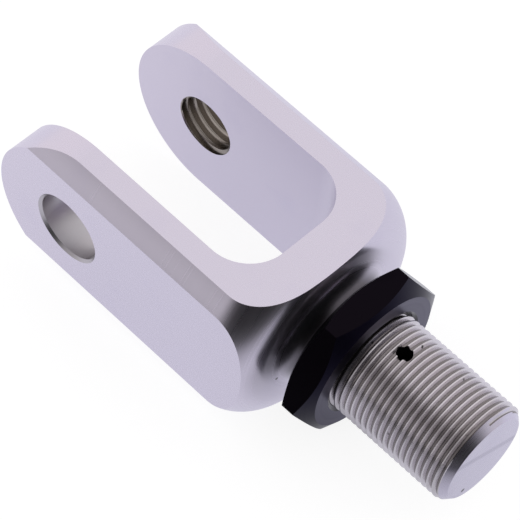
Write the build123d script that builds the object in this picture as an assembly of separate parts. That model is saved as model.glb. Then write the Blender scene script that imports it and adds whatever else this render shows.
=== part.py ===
"""Clevis rod end: a one-piece forked head with a threaded shank, and its thin lock nut.

The fork is turned from round bar and then milled. The bar is faced, its shoulder rounded and the
shank turned down in one setting; four flats, the round tips, the slot and the cross bores follow.

Frame: the origin is where the pin axis crosses the rod axis. +X runs along the rod axis towards
the end of the shank, the pin axis is Y with the tapped ear at +Y, and +Z is square to both.
All sizes are millimetres.
"""

from build123d import *
import os
from math import cos, radians, tan

# Forked head
slot_width = 31.0
ear_wall = 8.5
head_height = 40.0
bar_diameter = 57.5
slot_depth = 42.5
slot_corner_radius = 10.0
web_thickness = 10.0
shoulder_radius = 10.0

# Threaded shank, drawn at the thread's major diameter
shank_diameter = 24.0
shank_length = 43.0
shank_end_chamfer = 1.75
neck_fillet = 4.0

# Locking hole, drilled square to the shank from the top
lock_hole_diameter = 3.5
lock_hole_depth = 8.0
lock_hole_to_end_face = 19.5
drill_point_angle = 118.0

# Cross bores in the ears: the plain one takes the pin, the tapped one its thread
pin_bore_diameter = 16.0
pin_bore_rim = 0.6
pin_thread_diameter = 16.0
pin_thread_pitch = 2.0
tapped_bore_rim = 0.2

# Lock nut, tightened with its flats turned slightly off the fork's
nut_across_flats = 36.0
nut_thickness = 7.75
nut_face_diameter = 33.4
nut_chamfer_angle = 30.0
nut_countersink = 0.9
nut_running_clearance = 0.05
nut_stand_off = 0.75
nut_turn = 1.2

# A tool passes this far beyond the stock that it cuts
overcut = 2.0

# Sizes that follow
head_width = slot_width + 2 * ear_wall
tip_radius = head_height / 2
bar_radius = bar_diameter / 2
shank_radius = shank_diameter / 2
end_face_x = slot_depth + web_thickness
shank_end_x = end_face_x + shank_length
tapping_diameter = pin_thread_diameter - 1.0825 * pin_thread_pitch
nut_back_x = end_face_x + neck_fillet + nut_stand_off


def turned_blank():
    """The bar after turning: full diameter, rounded shoulder, end face, neck fillet and shank."""
    stock_x = -tip_radius - overcut
    with BuildPart() as blank:
        with BuildSketch(Plane.XZ):
            with BuildLine():
                Polyline(
                    (end_face_x - shoulder_radius, bar_radius),
                    (stock_x, bar_radius),
                    (stock_x, 0),
                    (shank_end_x, 0),
                    (shank_end_x, shank_radius - shank_end_chamfer),
                    (shank_end_x - shank_end_chamfer, shank_radius),
                    (end_face_x + neck_fillet, shank_radius),
                )
                shoulder = JernArc(
                    start=(end_face_x - shoulder_radius, bar_radius),
                    tangent=(1, 0),
                    radius=shoulder_radius,
                    arc_size=-90,
                )
                neck = JernArc(
                    start=(end_face_x, shank_radius + neck_fillet),
                    tangent=(0, -1),
                    radius=neck_fillet,
                    arc_size=90,
                )
                Line(shoulder @ 1, neck @ 0)
            make_face()
        revolve(axis=Axis.X)
    return blank.part


def milled_outline():
    """What the milling leaves of the bar: flat top, bottom and sides, and tips round the pin axis."""
    length = shank_end_x + overcut
    with BuildPart() as outline:
        with BuildSketch(Plane.XZ):
            Circle(tip_radius)
            with Locations((length / 2, 0)):
                Rectangle(length, head_height)
        extrude(amount=head_width / 2, both=True)
    return outline.part


def slot_cutter():
    """The slot between the ears, open at the tips, with rounded corners at its floor."""
    length = slot_depth + tip_radius + overcut
    with BuildPart() as slot:
        with BuildSketch(Plane.XY) as plan:
            with Locations((slot_depth - length / 2, 0)):
                Rectangle(length, slot_width)
            floor_corners = plan.vertices().group_by(Axis.X)[-1]
            fillet(floor_corners, radius=min(slot_corner_radius, 0.49 * slot_width))
        extrude(amount=head_height / 2 + overcut, both=True)
    return slot.part


def bore_cutter(diameter, rim, from_y, to_y):
    """A bore through one ear on the pin axis, with a chamfer at each rim."""
    radius = diameter / 2
    flare = rim + overcut
    with BuildPart() as bore:
        with BuildSketch(Plane.XY):
            with BuildLine():
                Polyline(
                    (0, from_y - overcut),
                    (radius + flare, from_y - overcut),
                    (radius, from_y + rim),
                    (radius, to_y - rim),
                    (radius + flare, to_y + overcut),
                    (0, to_y + overcut),
                    close=True,
                )
            make_face()
        revolve(axis=Axis.Y)
    return bore.part


def lock_hole_cutter():
    """The blind hole in the top of the shank, with the cone that the drill leaves."""
    radius = lock_hole_diameter / 2
    cone = radius / tan(radians(drill_point_angle / 2))
    x = end_face_x + lock_hole_to_end_face
    floor_z = shank_radius - lock_hole_depth
    with BuildPart() as hole:
        with BuildSketch(Plane.XZ):
            with BuildLine():
                Polyline(
                    (x, shank_radius + overcut),
                    (x + radius, shank_radius + overcut),
                    (x + radius, floor_z),
                    (x, floor_z - cone),
                    close=True,
                )
            make_face()
        revolve(axis=Axis((x, 0, 0), (0, 0, 1)))
    return hole.part


def make_fork():
    inner_y = slot_width / 2
    outer_y = head_width / 2
    fork = turned_blank() & milled_outline()
    fork -= slot_cutter()
    fork -= bore_cutter(pin_bore_diameter, pin_bore_rim, -outer_y, -inner_y)
    fork -= bore_cutter(tapping_diameter, tapped_bore_rim, inner_y, outer_y)
    fork -= lock_hole_cutter()
    return fork


def make_lock_nut():
    """A hexagon with both faces chamfered to a circle, bored to run on the shank."""
    corner_radius = nut_across_flats / 2 / cos(radians(30))
    cone_radius = corner_radius + 0.2
    face_radius = nut_face_diameter / 2
    cone_depth = (cone_radius - face_radius) * tan(radians(nut_chamfer_angle))
    bore_radius = shank_radius + nut_running_clearance
    front_x = nut_back_x + nut_thickness
    countersink_depth = nut_countersink * tan(radians(nut_chamfer_angle))
    with BuildPart() as nut:
        with BuildSketch(Plane.YZ.offset(nut_back_x)):
            RegularPolygon(nut_across_flats / 2, side_count=6, major_radius=False, rotation=nut_turn)
        extrude(amount=nut_thickness)
        with BuildSketch(Plane.XZ):
            with BuildLine():
                Polyline(
                    (nut_back_x, bore_radius + nut_countersink),
                    (nut_back_x, face_radius),
                    (nut_back_x + cone_depth, cone_radius),
                    (front_x - cone_depth, cone_radius),
                    (front_x, face_radius),
                    (front_x, bore_radius + nut_countersink),
                    (front_x - countersink_depth, bore_radius),
                    (nut_back_x + countersink_depth, bore_radius),
                    close=True,
                )
            make_face()
        revolve(axis=Axis.X, mode=Mode.INTERSECT)
    return nut.part


os.makedirs("parts", exist_ok=True)
export_step(make_fork(), "parts/clevis_fork.step")
export_step(make_lock_nut(), "parts/lock_nut.step")
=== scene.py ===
import math

import bmesh
import bpy
import numpy as np
from mathutils import Matrix, Vector


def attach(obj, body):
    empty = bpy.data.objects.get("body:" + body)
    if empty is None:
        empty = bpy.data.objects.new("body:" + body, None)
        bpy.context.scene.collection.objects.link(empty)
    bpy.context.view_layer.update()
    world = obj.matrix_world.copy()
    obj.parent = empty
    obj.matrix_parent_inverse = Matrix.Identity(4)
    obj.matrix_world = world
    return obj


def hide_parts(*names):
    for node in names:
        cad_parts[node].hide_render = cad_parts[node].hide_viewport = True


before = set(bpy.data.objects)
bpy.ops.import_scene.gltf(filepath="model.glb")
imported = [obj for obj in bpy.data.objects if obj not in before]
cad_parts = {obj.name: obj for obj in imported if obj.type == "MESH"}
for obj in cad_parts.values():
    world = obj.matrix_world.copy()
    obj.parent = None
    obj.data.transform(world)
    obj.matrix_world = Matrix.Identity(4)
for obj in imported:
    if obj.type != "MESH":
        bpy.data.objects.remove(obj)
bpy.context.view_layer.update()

# The turned blank. The fork starts as round steel bar, held once in the lathe: the bar's skin,
# the rounded shoulder, the end face and the filleted neck are turned to a fine, glossy finish.
# All sizes are millimetres, in the frame of the solids.
MM = 0.001
COLUMNS = 256
BAR_RADIUS = 28.75
SHOULDER_RADIUS = 10.0
END_FACE_X = 52.5
NECK_FILLET = 4.0
SHANK_RADIUS = 12.0
TIP_RADIUS = 20.0
OVERCUT = 2.0
SHOULDER_STEPS = 40
NECK_STEPS = 20


def around(axis, along, radius, turn):
    """Points round an axis, with the turn counted right-handed about it."""
    first = radius * np.cos(turn)
    second = radius * np.sin(turn)
    spread = {"x": (along, first, second), "y": (second, along, first), "z": (first, second, along)}
    return np.stack(np.broadcast_arrays(*spread[axis]), -1).reshape(-1, 3)


def workpiece(name, corners, faces, finish):
    """A mesh from corners in millimetres, with one finish all over."""
    mesh = bpy.data.meshes.new(name)
    mesh.from_pydata((np.asarray(corners, float) * MM).tolist(), [], faces)
    mesh.materials.append(finish)
    mesh.update()
    piece = bpy.data.objects.new(name, mesh)
    bpy.context.scene.collection.objects.link(piece)
    return piece


def ring_faces(rows, columns):
    """Quads between rings of corners that follow each other along an axis."""
    faces = []
    for low in range(0, (rows - 1) * columns, columns):
        high = low + columns
        for j in range(columns):
            k = (j + 1) % columns
            faces.append((low + j, low + k, high + k, high + j))
    return faces


def turned(name, axis, profile, columns, finish):
    """A closed turned solid. The profile lists (place along the axis, radius)."""
    along, radius = np.array(profile, float).T
    turn = np.arange(columns) * 2 * math.pi / columns
    corners = around(axis, along[:, None], radius[:, None], turn[None, :])
    rows = len(profile)
    faces = ring_faces(rows, columns)
    faces.append(tuple(reversed(range(columns))))
    faces.append(tuple(range((rows - 1) * columns, rows * columns)))
    return workpiece(name, corners, faces, finish)


def arc(centre, radius, start, end, steps):
    """Points of an arc in the plane of (along, radius), angles in degrees from the axis."""
    angles = np.radians(np.linspace(start, end, steps + 1))
    return [(centre[0] + radius * math.cos(a), centre[1] + radius * math.sin(a)) for a in angles]


def blended(nodes, links, factor, low, high):
    """A colour between two, each a colour or a socket, by a factor socket."""
    mix = nodes.new("ShaderNodeMix")
    mix.data_type = "RGBA"
    links.new(factor, mix.inputs["Factor"])
    for letter, value in (("A", low), ("B", high)):
        if isinstance(value, tuple):
            mix.inputs[letter].default_value = (*value, 1)
        else:
            links.new(value, mix.inputs[letter])
    return mix.outputs["Result"]


def ramp(nodes, links, value, start, end):
    """Rises smoothly from 0 at start to 1 at end."""
    rise = nodes.new("ShaderNodeMapRange")
    rise.interpolation_type = "SMOOTHSTEP"
    rise.inputs["From Min"].default_value = start
    rise.inputs["From Max"].default_value = end
    links.new(value, rise.inputs["Value"])
    return rise.outputs[0]


def off_axis(nodes, links, place):
    """How far a point is from the rod axis."""
    flat = nodes.new("ShaderNodeVectorMath")
    flat.operation = "MULTIPLY"
    flat.inputs[1].default_value = (0, 1, 1)
    links.new(place, flat.inputs[0])
    length = nodes.new("ShaderNodeVectorMath")
    length.operation = "LENGTH"
    links.new(flat.outputs[0], length.inputs[0])
    return length.outputs["Value"]


CLOUD_SCALE = 90
STAINED = (0.55, 0.75)
SHEEN_MARKS = (0.3, 0.7)
SHEEN_SPREAD = 0.07


def steel(name, colour, stain, roughness, marks, mark_scale, mark_depth):
    """Steel with faint stains and fine marks, which run round the rod axis or have no direction."""
    finish = bpy.data.materials.new(name)
    finish.use_nodes = True
    nodes, links = finish.node_tree.nodes, finish.node_tree.links
    shader = nodes["Principled BSDF"]
    shader.inputs["Metallic"].default_value = 1.0
    place = nodes.new("ShaderNodeTexCoord").outputs["Object"]
    marked = place
    if marks == "round":
        apart = nodes.new("ShaderNodeSeparateXYZ")
        links.new(place, apart.inputs[0])
        together = nodes.new("ShaderNodeCombineXYZ")
        links.new(apart.outputs["X"], together.inputs["X"])
        links.new(off_axis(nodes, links, place), together.inputs["Y"])
        marked = together.outputs[0]
    lines = nodes.new("ShaderNodeTexNoise")
    lines.inputs["Scale"].default_value = mark_scale
    lines.inputs["Detail"].default_value = 3
    links.new(marked, lines.inputs["Vector"])
    bump = nodes.new("ShaderNodeBump")
    bump.inputs["Distance"].default_value = mark_depth * MM
    links.new(lines.outputs["Fac"], bump.inputs["Height"])
    links.new(bump.outputs[0], shader.inputs["Normal"])
    cloud = nodes.new("ShaderNodeTexNoise")
    cloud.inputs["Scale"].default_value = CLOUD_SCALE
    cloud.inputs["Detail"].default_value = 4
    links.new(place, cloud.inputs["Vector"])
    stains = nodes.new("ShaderNodeMapRange")
    stains.inputs["From Min"].default_value = STAINED[0]
    stains.inputs["From Max"].default_value = STAINED[1]
    links.new(cloud.outputs["Fac"], stains.inputs["Value"])
    links.new(blended(nodes, links, stains.outputs[0], colour, stain), shader.inputs["Base Color"])
    sheen = nodes.new("ShaderNodeMapRange")
    sheen.inputs["From Min"].default_value = SHEEN_MARKS[0]
    sheen.inputs["From Max"].default_value = SHEEN_MARKS[1]
    sheen.inputs["To Min"].default_value = roughness * (1 - SHEEN_SPREAD)
    sheen.inputs["To Max"].default_value = roughness * (1 + SHEEN_SPREAD)
    links.new(lines.outputs["Fac"], sheen.inputs["Value"])
    links.new(sheen.outputs[0], shader.inputs["Roughness"])
    return finish


def laid_over(nodes, links, cover_colour, uncovered):
    """Covers a finish's colour with another colour, full where the uncovered socket is 0. It lays the
    dirt specks, the painted reflection streak and the painted shade.
    """
    colour = nodes["Principled BSDF"].inputs["Base Color"]
    links.new(blended(nodes, links, uncovered, cover_colour, colour.links[0].from_socket), colour)


def shade_towards_axis(finish, shaded_radius, lit_radius, painted_shade):
    """Darkens a finish towards the rod axis with painted shade, as in the neck's corner and in a thread's
    roots.
    """
    nodes, links = finish.node_tree.nodes, finish.node_tree.links
    place = nodes.new("ShaderNodeTexCoord").outputs["Object"]
    uncovered = ramp(nodes, links, off_axis(nodes, links, place), shaded_radius * MM, lit_radius * MM)
    laid_over(nodes, links, painted_shade, uncovered)


def distant(nodes, links, vector, place):
    """How far a point is from a place, which is given in millimetres."""
    gap = nodes.new("ShaderNodeVectorMath")
    gap.operation = "DISTANCE"
    gap.inputs[1].default_value = [value * MM for value in place]
    links.new(vector, gap.inputs[0])
    return gap.outputs["Value"]


def spotted(finish, places, radius):
    """Leaves a small dark speck on a finish at each place. It fades out from its core to its radius."""
    nodes, links = finish.node_tree.nodes, finish.node_tree.links
    point = nodes.new("ShaderNodeTexCoord").outputs["Object"]
    for place in places:
        away = distant(nodes, links, point, place)
        uncovered = ramp(nodes, links, away, SPECK_CORE * radius * MM, radius * MM)
        laid_over(nodes, links, DIRT, uncovered)


STEEL = (0.66, 0.62, 0.71)
TARNISH = (0.64, 0.60, 0.70)
DIRT = (0.03, 0.028, 0.03)
# Painted shade in the neck's corner under the nut, darker towards the rod axis.
NECK_SHADE = (0.06, 0.055, 0.06)
NECK_SHADE_SPAN = (SHANK_RADIUS - 0.5, SHANK_RADIUS + 3.5)
SPECK_CORE = 0.4
SPECK_RADIUS = 0.5
SHOULDER_SPECK = (END_FACE_X, -14.5, -5.8)

turned_finish = steel(
    "turned_steel", STEEL, TARNISH, roughness=0.29, marks="round", mark_scale=2500, mark_depth=0.0002,
)
# Painted shade: the neck's corner under the nut is darkened towards the rod axis.
shade_towards_axis(turned_finish, *NECK_SHADE_SPAN, NECK_SHADE)
spotted(turned_finish, [SHOULDER_SPECK], SPECK_RADIUS)

stock_x = -TIP_RADIUS - OVERCUT
shoulder_centre = (END_FACE_X - SHOULDER_RADIUS, BAR_RADIUS - SHOULDER_RADIUS)
neck_centre = (END_FACE_X + NECK_FILLET, SHANK_RADIUS + NECK_FILLET)
blank_profile = [(stock_x, BAR_RADIUS)]
blank_profile += arc(shoulder_centre, SHOULDER_RADIUS, 90, 0, SHOULDER_STEPS)
blank_profile += arc(neck_centre, NECK_FILLET, 180, 270, NECK_STEPS)
head = turned("head", "x", blank_profile, COLUMNS, turned_finish)

# The threaded shank. A right-handed M24x1.5 thread, a little shallow, is cut up to the neck on the
# same blank, and the end is faced and chamfered. The thread's roots are darkened with painted shade,
# there are a few specks of dirt, and a faint darker streak of painted reflection crosses the end face.
SHANK_END_X = 95.5
SHANK_END_CHAMFER = 1.75
SHANK_PITCH = 1.5
SHANK_CREST_X = 57.55
RUNOUT = (56.6, 57.5)
SHANK_THREAD_DEPTH = 0.705
SHANK_CREST_SHARE = 0.09
SHANK_ROOT_SAG = 0.03
SHANK_CREST_EASE = 0.02
FLANK_ANGLE = math.radians(30)
WELD = 0.002
RING_WELD = 0.003


def thread_form(crest, root, groove, crest_share, pitch):
    """One pitch from the middle of its crest, as (share of the pitch, radius).

    The flat crest and the root are radii, and the groove is the radius in the middle of the root.
    """
    foot = crest_share + abs(crest - root) / pitch * math.tan(FLANK_ANGLE)
    middle = (crest_share + foot) / 2
    halfway = (crest + root) / 2
    return [
        (0, crest),
        (crest_share, crest),
        (middle, halfway),
        (foot, root),
        (0.5, groove),
        (1 - foot, root),
        (1 - middle, halfway),
        (1 - crest_share, crest),
    ]


def shank_form(crest):
    """The shank's thread at a crest radius. The nut's thread follows it too."""
    root = crest - SHANK_THREAD_DEPTH
    return thread_form(crest, root, root - SHANK_ROOT_SAG, SHANK_CREST_SHARE, SHANK_PITCH)


def threaded(name, axis, start, end, pitch, crest_at, form, trim, columns, finish):
    """A closed rod with a right-handed thread. Its rows of corners follow the helix."""
    share, height = np.array(form, float).T
    rows_per_pitch = len(form)
    base = crest_at + pitch * (math.floor((start - crest_at) / pitch) - 2)
    rows = rows_per_pitch * (math.ceil((end - base) / pitch) + 2)
    row = np.arange(rows)
    part_of_turn = np.arange(columns) / columns
    first_column = base + pitch * (row // rows_per_pitch + share[row % rows_per_pitch])
    along = first_column[:, None] + pitch * part_of_turn[None, :]
    along = np.clip(along, start, end)
    phase = ((along - crest_at) / pitch - part_of_turn[None, :]) % 1
    radius = trim(along, np.interp(phase, share, height, period=1))
    corners = around(axis, along, radius, 2 * math.pi * part_of_turn[None, :])
    faces = []
    for i in range(rows - 1):
        for j in range(columns - 1):
            a = i * columns + j
            faces.append((a, a + 1, a + columns + 1, a + columns))
    for i in range(rows - 1 - rows_per_pitch):
        a = i * columns + columns - 1
        b = (i + rows_per_pitch) * columns
        faces.append((a, b, b + columns, a + columns))
    faces.append(tuple(reversed(range(columns))))
    faces.append(tuple(range((rows - 1) * columns, rows * columns)))
    piece = workpiece(name, corners, faces, finish)
    work = bmesh.new()
    work.from_mesh(piece.data)
    bmesh.ops.remove_doubles(work, verts=work.verts, dist=WELD * MM)
    work.to_mesh(piece.data)
    work.free()
    return piece


def shank_trim(along, radius):
    """Runs the thread out at the neck and chamfers the end."""
    depth = SHANK_RADIUS - radius
    begun = np.clip((along - RUNOUT[0]) / (RUNOUT[1] - RUNOUT[0]), 0, 1)
    chamfer = SHANK_RADIUS - (along - (SHANK_END_X - SHANK_END_CHAMFER))
    return np.minimum(SHANK_RADIUS - depth * begun, chamfer)


def measured(nodes, links, vector, way):
    """How far a vector goes one way."""
    dot = nodes.new("ShaderNodeVectorMath")
    dot.operation = "DOT_PRODUCT"
    dot.inputs[1].default_value = way
    links.new(vector, dot.inputs[0])
    return dot.outputs["Value"]


def streaked(finish, way, offset, half_width, streak_colour):
    """Paints one straight darker band, a painted reflection streak, across a finish at an offset in
    millimetres along a direction.
    """
    nodes, links = finish.node_tree.nodes, finish.node_tree.links
    point = nodes.new("ShaderNodeTexCoord").outputs["Object"]
    off_line = nodes.new("ShaderNodeMath")
    off_line.operation = "SUBTRACT"
    off_line.inputs[1].default_value = offset * MM
    links.new(measured(nodes, links, point, way), off_line.inputs[0])
    off_centre = nodes.new("ShaderNodeMath")
    off_centre.operation = "ABSOLUTE"
    links.new(off_line.outputs[0], off_centre.inputs[0])
    uncovered = ramp(nodes, links, off_centre.outputs[0], STREAK_CORE * half_width * MM, half_width * MM)
    laid_over(nodes, links, streak_colour, uncovered)


THREAD_STEEL = (0.65, 0.62, 0.645)
THREAD_TARNISH = (0.50, 0.47, 0.475)
# Painted shade in the thread's roots.
THREAD_ROOT_SHADE = (0.22, 0.20, 0.20)
THREAD_ROOT_SHADE_DEPTH = 0.04
THREAD_SPECKS = [(66.0, 104), (73.1, 70), (77.0, 167), (80.2, 170), (83.9, 65), (93.3, 111)]
THREAD_SPECK_RADIUS = SHANK_RADIUS - 0.3
FACED_STEEL = (0.63, 0.60, 0.70)
FACED_TARNISH = (0.60, 0.57, 0.68)
# Painted reflection: a faint darker streak across the end face.
PAINTED_STREAK = (0.50, 0.475, 0.57)
STREAK_WAY = (0, 0.422, 0.907)
STREAK_OFFSET = 1.7
STREAK_HALF_WIDTH = 1.2
STREAK_CORE = 0.3
FACE_SPECK = (SHANK_END_X, -4.7, -7.1)
FACE_SPECK_RADIUS = 0.7
SQUARE_ON = 0.99
ON_THE_CONE = 0.01
ON_THE_CAP = 0.001

thread_finish = steel(
    "threaded_steel", THREAD_STEEL, THREAD_TARNISH,
    roughness=0.25, marks="even", mark_scale=3500, mark_depth=0.016,
)
thread_root = SHANK_RADIUS - SHANK_THREAD_DEPTH
# Painted shade: the thread's roots are darkened towards the rod axis.
shade_towards_axis(thread_finish, thread_root, thread_root + THREAD_ROOT_SHADE_DEPTH, THREAD_ROOT_SHADE)
speck_places = []
for x, turn in THREAD_SPECKS:
    speck_places += list(around("x", x, THREAD_SPECK_RADIUS, math.radians(turn)))
spotted(thread_finish, speck_places, SPECK_RADIUS)
shank_start_x = END_FACE_X + NECK_FILLET
shank = threaded(
    "shank", "x", shank_start_x, SHANK_END_X, SHANK_PITCH, SHANK_CREST_X,
    shank_form(SHANK_RADIUS - SHANK_CREST_EASE), shank_trim, COLUMNS, thread_finish,
)

faced_finish = steel(
    "faced_steel", FACED_STEEL, FACED_TARNISH,
    roughness=0.28, marks="round", mark_scale=2500, mark_depth=0.0005,
)
# The end face gets a painted reflection streak.
streaked(faced_finish, STREAK_WAY, STREAK_OFFSET, STREAK_HALF_WIDTH, PAINTED_STREAK)
spotted(faced_finish, [FACE_SPECK], FACE_SPECK_RADIUS)
shank.data.materials.append(faced_finish)
for face in shank.data.polygons:
    x, y, z = face.center / MM
    chamfer_radius = SHANK_RADIUS - (x - (SHANK_END_X - SHANK_END_CHAMFER))
    if face.normal.x > SQUARE_ON or abs(math.hypot(y, z) - chamfer_radius) < ON_THE_CONE:
        face.material_index = 1


def open_end(piece, x):
    """Takes away the flat cap at one end, so that the next part of the blank joins on."""
    work = bmesh.new()
    work.from_mesh(piece.data)
    caps = [
        face for face in work.faces
        if abs(face.calc_center_median().x - x * MM) < ON_THE_CAP * MM and len(face.verts) > COLUMNS // 2
    ]
    bmesh.ops.delete(work, geom=caps, context="FACES_ONLY")
    work.to_mesh(piece.data)
    work.free()


def in_one(first, second, name):
    """Two open parts of one blank, welded along their common ring."""
    work = bmesh.new()
    work.from_mesh(first.data)
    count = len(work.faces)
    work.from_mesh(second.data)
    work.faces.ensure_lookup_table()
    for face in work.faces[count:]:
        face.material_index += len(first.data.materials)
    bmesh.ops.remove_doubles(work, verts=work.verts, dist=RING_WELD * MM)
    mesh = bpy.data.meshes.new(name)
    work.to_mesh(mesh)
    work.free()
    for source in (first, second):
        for finish in source.data.materials:
            mesh.materials.append(finish)
        bpy.data.objects.remove(source)
    piece = bpy.data.objects.new(name, mesh)
    bpy.context.scene.collection.objects.link(piece)
    return piece


open_end(head, shank_start_x)
open_end(shank, shank_start_x)
fork = in_one(head, shank, "clevis_fork_machined")

# The milled flats and tips. The bar is milled 48 mm wide and 40 mm high, and both tips are
# milled round the pin axis. Between the flats, narrow strips of the bar's turned skin stay.
HEAD_WIDTH = 48.0
HEAD_HEIGHT = 40.0
TIP_STEPS = 96


def extruded(name, outline, axis, low, high, finish):
    """A closed prism of a plane outline, listed anticlockwise about the axis."""
    count = len(outline)
    corners = []
    for along in (low, high):
        for u, v in outline:
            corners.append({"y": (v, along, u), "z": (u, v, along), "x": (along, u, v)}[axis])
    faces = [(i, (i + 1) % count, count + (i + 1) % count, count + i) for i in range(count)]
    faces.append(tuple(reversed(range(count))))
    faces.append(tuple(range(count, 2 * count)))
    return workpiece(name, corners, faces, finish)


def machined(piece, tool, way="DIFFERENCE"):
    """The piece after one machining step, with the tool's finish on the faces that it leaves."""
    step = piece.modifiers.new("step", "BOOLEAN")
    step.operation = way
    step.object = tool
    step.solver = "EXACT"
    step.material_mode = "TRANSFER"
    graph = bpy.context.evaluated_depsgraph_get()
    shape = bpy.data.meshes.new_from_object(piece.evaluated_get(graph))
    piece.modifiers.clear()
    piece.data = shape
    bpy.data.objects.remove(tool)


milled_finish = steel(
    "milled_steel", STEEL, TARNISH, roughness=0.28, marks="even", mark_scale=1800, mark_depth=0.0001,
)
far_x = SHANK_END_X + OVERCUT
half_height = HEAD_HEIGHT / 2
stadium = [(half_height, 0.0), (half_height, far_x), (-half_height, far_x), (-half_height, 0.0)]
tip_turns = np.linspace(math.pi, 2 * math.pi, TIP_STEPS + 1)[1:-1]
stadium += [(TIP_RADIUS * math.cos(t), TIP_RADIUS * math.sin(t)) for t in tip_turns]
outline = extruded("outline", stadium, "y", -HEAD_WIDTH / 2, HEAD_WIDTH / 2, milled_finish)
machined(fork, outline, "INTERSECT")

# The slot. It is milled through between the ears for the eye or tongue that the pin holds, with
# a straight floor and two rounded corners.
SLOT_WIDTH = 31.0
SLOT_DEPTH = 42.5
SLOT_CORNER_RADIUS = 10.0
CORNER_STEPS = 24

slot_finish = steel(
    "slot_steel", STEEL, TARNISH, roughness=0.34, marks="even", mark_scale=1800, mark_depth=0.0001,
)
half_slot = SLOT_WIDTH / 2
corner_x = SLOT_DEPTH - SLOT_CORNER_RADIUS
corner_y = half_slot - SLOT_CORNER_RADIUS
slot_plan = [(stock_x - OVERCUT, half_slot), (stock_x - OVERCUT, -half_slot)]
slot_plan += arc((corner_x, -corner_y), SLOT_CORNER_RADIUS, -90, 0, CORNER_STEPS)
slot_plan += arc((corner_x, corner_y), SLOT_CORNER_RADIUS, 0, 90, CORNER_STEPS)
slot = extruded("slot", slot_plan, "z", -half_height - OVERCUT, half_height + OVERCUT, slot_finish)
machined(fork, slot)

# The pin's seats. The ear at -Y is bored 16 mm plain for the pin, and the ear at +Y is tapped
# M16x2, right-handed, for the pin's thread. Both bores have a small chamfer at each rim, and
# their steel is darker than the flats, with a brown film of oil in the thread.
PIN_RADIUS = 8.0
PIN_BORE_RIM = 0.6
TAPPED_BORE_RIM = 0.2
BORE_COLUMNS = 160
PIN_PITCH = 2.0
PIN_CREST_Y = 16.2
PIN_THREAD_MINOR = 6.9175
PIN_THREAD_DEPTH = 1.0826
PIN_CREST_SHARE = 0.125
PIN_ROOT_SAG = 0.02
BORE_STEEL = (0.50, 0.48, 0.50)
BORE_TARNISH = (0.42, 0.40, 0.40)
OILY_STEEL = (0.32, 0.29, 0.26)
BROWN_OIL = (0.22, 0.19, 0.165)

bore_finish = steel(
    "bored_steel", BORE_STEEL, BORE_TARNISH,
    roughness=0.34, marks="even", mark_scale=2500, mark_depth=0.0002,
)
tapped_finish = steel(
    "tapped_steel", OILY_STEEL, BROWN_OIL,
    roughness=0.24, marks="even", mark_scale=2500, mark_depth=0.0002,
)
outer_y = HEAD_WIDTH / 2
flare = PIN_BORE_RIM + OVERCUT
bore = turned(
    "bore", "y",
    [
        (-outer_y - OVERCUT, PIN_RADIUS + flare),
        (-outer_y + PIN_BORE_RIM, PIN_RADIUS),
        (-half_slot - PIN_BORE_RIM, PIN_RADIUS),
        (-half_slot + OVERCUT, PIN_RADIUS + flare),
    ],
    BORE_COLUMNS, bore_finish,
)
machined(fork, bore)


def tap_trim(along, radius):
    """Opens the tapped hole with a small chamfer at both faces of the ear."""
    near = PIN_THREAD_MINOR + TAPPED_BORE_RIM + (half_slot - along)
    far = PIN_THREAD_MINOR + TAPPED_BORE_RIM + (along - outer_y)
    return np.maximum(radius, np.maximum(near, far))


pin_root = PIN_THREAD_MINOR + PIN_THREAD_DEPTH
pin_form = thread_form(
    PIN_THREAD_MINOR, pin_root, pin_root + PIN_ROOT_SAG, PIN_CREST_SHARE, PIN_PITCH,
)
tap = threaded(
    "tap", "y", half_slot - OVERCUT, outer_y + OVERCUT, PIN_PITCH, PIN_CREST_Y,
    pin_form, tap_trim, BORE_COLUMNS, tapped_finish,
)
machined(fork, tap)

# The locking hole. A small blind hole is drilled square into the top of the shank, through the
# thread crests, which leaves a ragged rim. Its walls are painted near-black: painted shade inside
# the hole.
HOLE_RADIUS = 1.75
HOLE_DEPTH = 8.0
HOLE_X = 72.0
DRILL_HALF_ANGLE = math.radians(59)
DRILL_TIP = 0.02
DRILL_COLUMNS = 48
# Painted shade: the hole's walls are near-black steel.
HOLE_SHADE = (0.05, 0.04, 0.045)
HOLE_STAINED_SHADE = (0.03, 0.025, 0.03)

hole_shade_finish = steel(
    "drilled_steel_painted_shade", HOLE_SHADE, HOLE_STAINED_SHADE,
    roughness=0.5, marks="even", mark_scale=2500, mark_depth=0.004,
)
floor_z = SHANK_RADIUS - HOLE_DEPTH
drill = turned(
    "drill", "z",
    [
        (floor_z - (HOLE_RADIUS - DRILL_TIP) / math.tan(DRILL_HALF_ANGLE), DRILL_TIP),
        (floor_z, HOLE_RADIUS),
        (SHANK_RADIUS + OVERCUT, HOLE_RADIUS),
    ],
    DRILL_COLUMNS, hole_shade_finish,
)
drill.data.transform(Matrix.Translation((HOLE_X * MM, 0, 0)))
machined(fork, drill)


CREASE = math.radians(26)


def dressed(piece, body, node):
    """Smooth faces with crisp edges, riding on its body in place of its plain solid."""
    mesh = piece.data
    mesh.polygons.foreach_set("use_smooth", [True] * len(mesh.polygons))
    mesh.set_sharp_from_angle(angle=CREASE)
    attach(piece, body)
    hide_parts(node)


dressed(fork, "fork", "clevis_fork")

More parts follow.
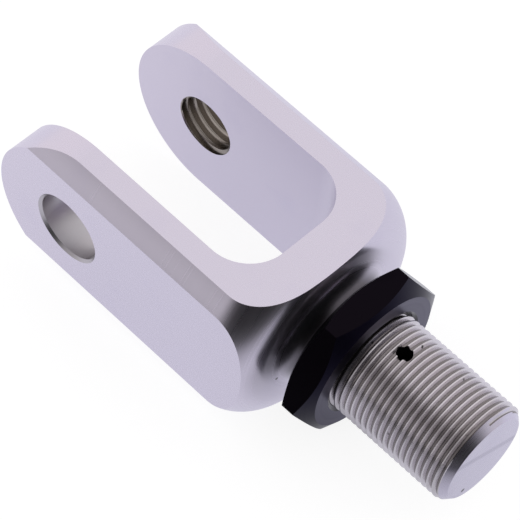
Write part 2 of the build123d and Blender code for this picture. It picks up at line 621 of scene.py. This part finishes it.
# The lock nut. A thin hexagonal nut, 36 mm across flats, in steel with a glossy black oxide. Both
# faces are chamfered at 30 degrees and countersunk, and it is screwed up to the neck. The front
# face is painted the palest, a bluish black, and the chamfers paler and bluer than the flats:
# painted sheen over the oxide's own black.
NUT_BACK_X = 57.25
NUT_THICKNESS = 7.75
NUT_TURN = 1.2
NUT_ACROSS_FLATS = 36.0
NUT_FACE_RADIUS = 16.7
NUT_CHAMFER = math.radians(30)
NUT_COUNTERSINK = 0.9
NUT_CLEARANCE = 0.05
NUT_MINOR_RADIUS = 11.19
NUT_CONE_MARGIN = 0.2
BLACK = (0.006, 0.0045, 0.007)
DEEP_BLACK = (0.004, 0.003, 0.005)
# Painted sheen: the chamfers and the front face are paler and bluer than the flats of the same oxide.
CHAMFER_SHEEN_BLACK = (0.009, 0.0075, 0.019)
DEEP_CHAMFER_SHEEN_BLACK = (0.008, 0.0065, 0.016)
FACE_SHEEN_BLACK = (0.036, 0.031, 0.068)
DEEP_FACE_SHEEN_BLACK = (0.030, 0.026, 0.056)

nut_finish = steel(
    "black_oxide", BLACK, DEEP_BLACK, roughness=0.20, marks="even", mark_scale=1500, mark_depth=0.0002,
)
nut_cone_sheen_finish = steel(
    "black_oxide_chamfered_painted_sheen", CHAMFER_SHEEN_BLACK, DEEP_CHAMFER_SHEEN_BLACK,
    roughness=0.30, marks="round", mark_scale=2500, mark_depth=0.0002,
)
nut_face_sheen_finish = steel(
    "black_oxide_faced_painted_sheen", FACE_SHEEN_BLACK, DEEP_FACE_SHEEN_BLACK,
    roughness=0.30, marks="round", mark_scale=2500, mark_depth=0.0002,
)
corner_radius = NUT_ACROSS_FLATS / 2 / math.cos(math.radians(30))
corner_turns = [math.radians(NUT_TURN + 60 * i) for i in range(6)]
hexagon = [(corner_radius * math.cos(t), corner_radius * math.sin(t)) for t in corner_turns]
nut_front_x = NUT_BACK_X + NUT_THICKNESS
nut = extruded("lock_nut_machined", hexagon, "x", NUT_BACK_X - OVERCUT, nut_front_x + OVERCUT, nut_finish)
cone_radius = corner_radius + NUT_CONE_MARGIN
cone_depth = (cone_radius - NUT_FACE_RADIUS) * math.tan(NUT_CHAMFER)
faced = turned(
    "faced", "x",
    [
        (NUT_BACK_X, NUT_FACE_RADIUS),
        (NUT_BACK_X + cone_depth, cone_radius),
        (nut_front_x - cone_depth, cone_radius),
        (nut_front_x, NUT_FACE_RADIUS),
    ],
    COLUMNS, nut_cone_sheen_finish,
)
for finish in (nut_face_sheen_finish, nut_finish):
    faced.data.materials.append(finish)
for face in faced.data.polygons:
    if abs(face.normal.x) > SQUARE_ON:
        face.material_index = 1 if face.normal.x > 0 else 2
machined(nut, faced, "INTERSECT")


def nut_trim(along, radius):
    """Keeps the nut's thread clear of the shank's and opens both ends with a countersink."""
    depth = NUT_COUNTERSINK * math.tan(NUT_CHAMFER)
    mouth = SHANK_RADIUS + NUT_CLEARANCE
    slope = NUT_COUNTERSINK / depth
    back = mouth + (NUT_BACK_X + depth - along) * slope
    front = mouth + (along - nut_front_x + depth) * slope
    clear = np.maximum(radius + NUT_CLEARANCE, NUT_MINOR_RADIUS)
    return np.maximum(clear, np.maximum(back, front))


nut_tap = threaded(
    "nut_tap", "x", NUT_BACK_X - OVERCUT, nut_front_x + OVERCUT, SHANK_PITCH, SHANK_CREST_X,
    shank_form(SHANK_RADIUS), nut_trim, COLUMNS, nut_finish,
)
machined(nut, nut_tap)
dressed(nut, "nut", "lock_nut")

# The white ground that the part lies on, and the soft light round it. The steel mirrors a pale
# room and ground on every side but the one towards FRONT, where both are nearly dark. A soft
# shade lies on the ground under the shank.
FLOOR_Z = -20.05
FLOOR_HALF = 900.0
FRONT = (0.75, -0.66, 0)
FRONT_SPAN = (40, 190)
FORK_WAY = (-1, 0, 0)
FORK_SPAN = (-20, 70)
GROUND_AT_SHANK = (0.70, 0.70, 0.78)
GROUND_AT_FORK = (0.76, 0.75, 0.82)
GROUND_IN_FRONT = (0.015, 0.015, 0.015)
SHADE_PLACE = (68, -12, FLOOR_Z)
SHADE_SPAN = (2, 18)
SHADE_DEEPEST = 0.60
SEEN_GROUND = (0.86, 0.86, 0.86)
HIDDEN_GLOW = (0.5, 0.5, 0.5)
PAPER = (0.25, 0.25, 0.25)
PAPER_IN_FRONT = (0.03, 0.03, 0.03)


def seen_rays(nodes, links):
    """Two sockets: the first is 1 for camera rays, the second also for those off gloss or glass."""
    rays = nodes.new("ShaderNodeLightPath")
    sent_on = nodes.new("ShaderNodeMath")
    sent_on.operation = "MAXIMUM"
    links.new(rays.outputs["Is Glossy Ray"], sent_on.inputs[0])
    links.new(rays.outputs["Is Transmission Ray"], sent_on.inputs[1])
    either = nodes.new("ShaderNodeMath")
    either.operation = "MAXIMUM"
    links.new(rays.outputs["Is Camera Ray"], either.inputs[0])
    links.new(sent_on.outputs[0], either.inputs[1])
    return rays.outputs["Is Camera Ray"], either.outputs[0]


floor_finish = bpy.data.materials.new("white_ground")
floor_finish.use_nodes = True
nodes, links = floor_finish.node_tree.nodes, floor_finish.node_tree.links
nodes.clear()
output = nodes.new("ShaderNodeOutputMaterial")
paper = nodes.new("ShaderNodeBsdfDiffuse")
glow = nodes.new("ShaderNodeEmission")
both = nodes.new("ShaderNodeAddShader")
links.new(paper.outputs[0], both.inputs[0])
links.new(glow.outputs[0], both.inputs[1])
links.new(both.outputs[0], output.inputs["Surface"])
place = nodes.new("ShaderNodeTexCoord").outputs["Object"]
to_fork = measured(nodes, links, place, FORK_WAY)
fork_end = ramp(nodes, links, to_fork, FORK_SPAN[0] * MM, FORK_SPAN[1] * MM)
lit = blended(nodes, links, fork_end, GROUND_AT_SHANK, GROUND_AT_FORK)
to_front = measured(nodes, links, place, FRONT)
dim = ramp(nodes, links, to_front, FRONT_SPAN[0] * MM, FRONT_SPAN[1] * MM)
lit = blended(nodes, links, dim, lit, GROUND_IN_FRONT)
shade = nodes.new("ShaderNodeMapRange")
shade.interpolation_type = "SMOOTHSTEP"
shade.inputs["From Min"].default_value = SHADE_SPAN[0] * MM
shade.inputs["From Max"].default_value = SHADE_SPAN[1] * MM
shade.inputs["To Min"].default_value = SHADE_DEEPEST
links.new(distant(nodes, links, place, SHADE_PLACE), shade.inputs["Value"])
shaded = nodes.new("ShaderNodeVectorMath")
shaded.operation = "SCALE"
links.new(lit, shaded.inputs[0])
links.new(shade.outputs[0], shaded.inputs["Scale"])
lit = shaded.outputs[0]
eye, mirror = seen_rays(nodes, links)
lit = blended(nodes, links, eye, lit, SEEN_GROUND)
lit = blended(nodes, links, mirror, HIDDEN_GLOW, lit)
links.new(lit, glow.inputs["Color"])
sheet = blended(nodes, links, dim, PAPER, PAPER_IN_FRONT)
sheet = blended(nodes, links, eye, sheet, PAPER)
links.new(sheet, paper.inputs["Color"])

corners = [
    (-FLOOR_HALF, -FLOOR_HALF, FLOOR_Z),
    (FLOOR_HALF, -FLOOR_HALF, FLOOR_Z),
    (FLOOR_HALF, FLOOR_HALF, FLOOR_Z),
    (-FLOOR_HALF, FLOOR_HALF, FLOOR_Z),
]
ground = workpiece("ground", corners, [(0, 1, 2, 3)], floor_finish)

world = bpy.data.worlds.new("studio")
bpy.context.scene.world = world
world.use_nodes = True
nodes, links = world.node_tree.nodes, world.node_tree.links
nodes.clear()
output = nodes.new("ShaderNodeOutputWorld")
sky = nodes.new("ShaderNodeBackground")
links.new(sky.outputs[0], output.inputs["Surface"])
direction = nodes.new("ShaderNodeTexCoord").outputs["Generated"]


def soft_patch(below, azimuth, elevation, inner, outer, colour):
    """Lays a soft round patch on the sky, full within inner degrees and gone past outer.

    Azimuth is 0 from -Y and 90 from +X, and both angles of the patch are measured from its middle.
    """
    a, e = math.radians(azimuth), math.radians(elevation)
    way = (math.sin(a) * math.cos(e), -math.cos(a) * math.cos(e), math.sin(e))
    nearness = measured(nodes, links, direction, way)
    amount = ramp(nodes, links, nearness, math.cos(math.radians(outer)), math.cos(math.radians(inner)))
    return blended(nodes, links, amount, below, colour)


ROOM = (0.74, 0.72, 0.74)
SEEN_ROOM = (1, 1, 1)
HIDDEN_ROOM = (0.7, 0.69, 0.7)
# Each patch is its azimuth, elevation, inner and outer angle, and colour.
PATCHES = [
    (-141, 60, 25, 95, (0.98, 0.96, 0.98)),
    (-115, 20, 5, 45, (1.02, 0.98, 1.00)),
    (-46, 36, 2, 30, (0.40, 0.38, 0.39)),
    (35, 45, 12, 48, (0.03, 0.027, 0.03)),
    (50, 11, 32, 72, (0.005, 0.0045, 0.005)),
]

room = ROOM
for patch in PATCHES:
    room = soft_patch(room, *patch)
eye, mirror = seen_rays(nodes, links)
room = blended(nodes, links, eye, room, SEEN_ROOM)
room = blended(nodes, links, mirror, HIDDEN_ROOM, room)
links.new(room, sky.inputs["Color"])

# The camera, at the photograph's angle: above the plain ear, a little rolled, far off with a
# long lens.
AZIMUTH, ELEVATION, ROLL = (math.radians(a) for a in (38.81, 56.21, 7.67))
DISTANCE = 620.13
FOCAL_PIXELS = 2961.94
PICTURE_WIDTH = 520
AIM = (22.85, -19.82)

level = Vector((math.cos(AZIMUTH), math.sin(AZIMUTH), 0))
flat_back = Vector((math.sin(AZIMUTH), -math.cos(AZIMUTH), 0))
back = math.cos(ELEVATION) * flat_back + Vector((0, 0, math.sin(ELEVATION)))
rise = back.cross(level)
right = math.cos(ROLL) * level + math.sin(ROLL) * rise
upward = math.cos(ROLL) * rise - math.sin(ROLL) * level
lens = bpy.data.cameras.new("camera")
lens.sensor_width = 36.0
lens.lens = FOCAL_PIXELS / PICTURE_WIDTH * lens.sensor_width
lens.clip_start = 0.05
lens.clip_end = 20
camera = bpy.data.objects.new("camera", lens)
bpy.context.scene.collection.objects.link(camera)
place = (right * AIM[0] + upward * AIM[1] + back * DISTANCE) * MM
camera.matrix_world = Matrix.Translation(place) @ Matrix((right, upward, back)).transposed().to_4x4()
bpy.context.scene.camera = camera
bpy.context.scene.view_settings.view_transform = "Standard"
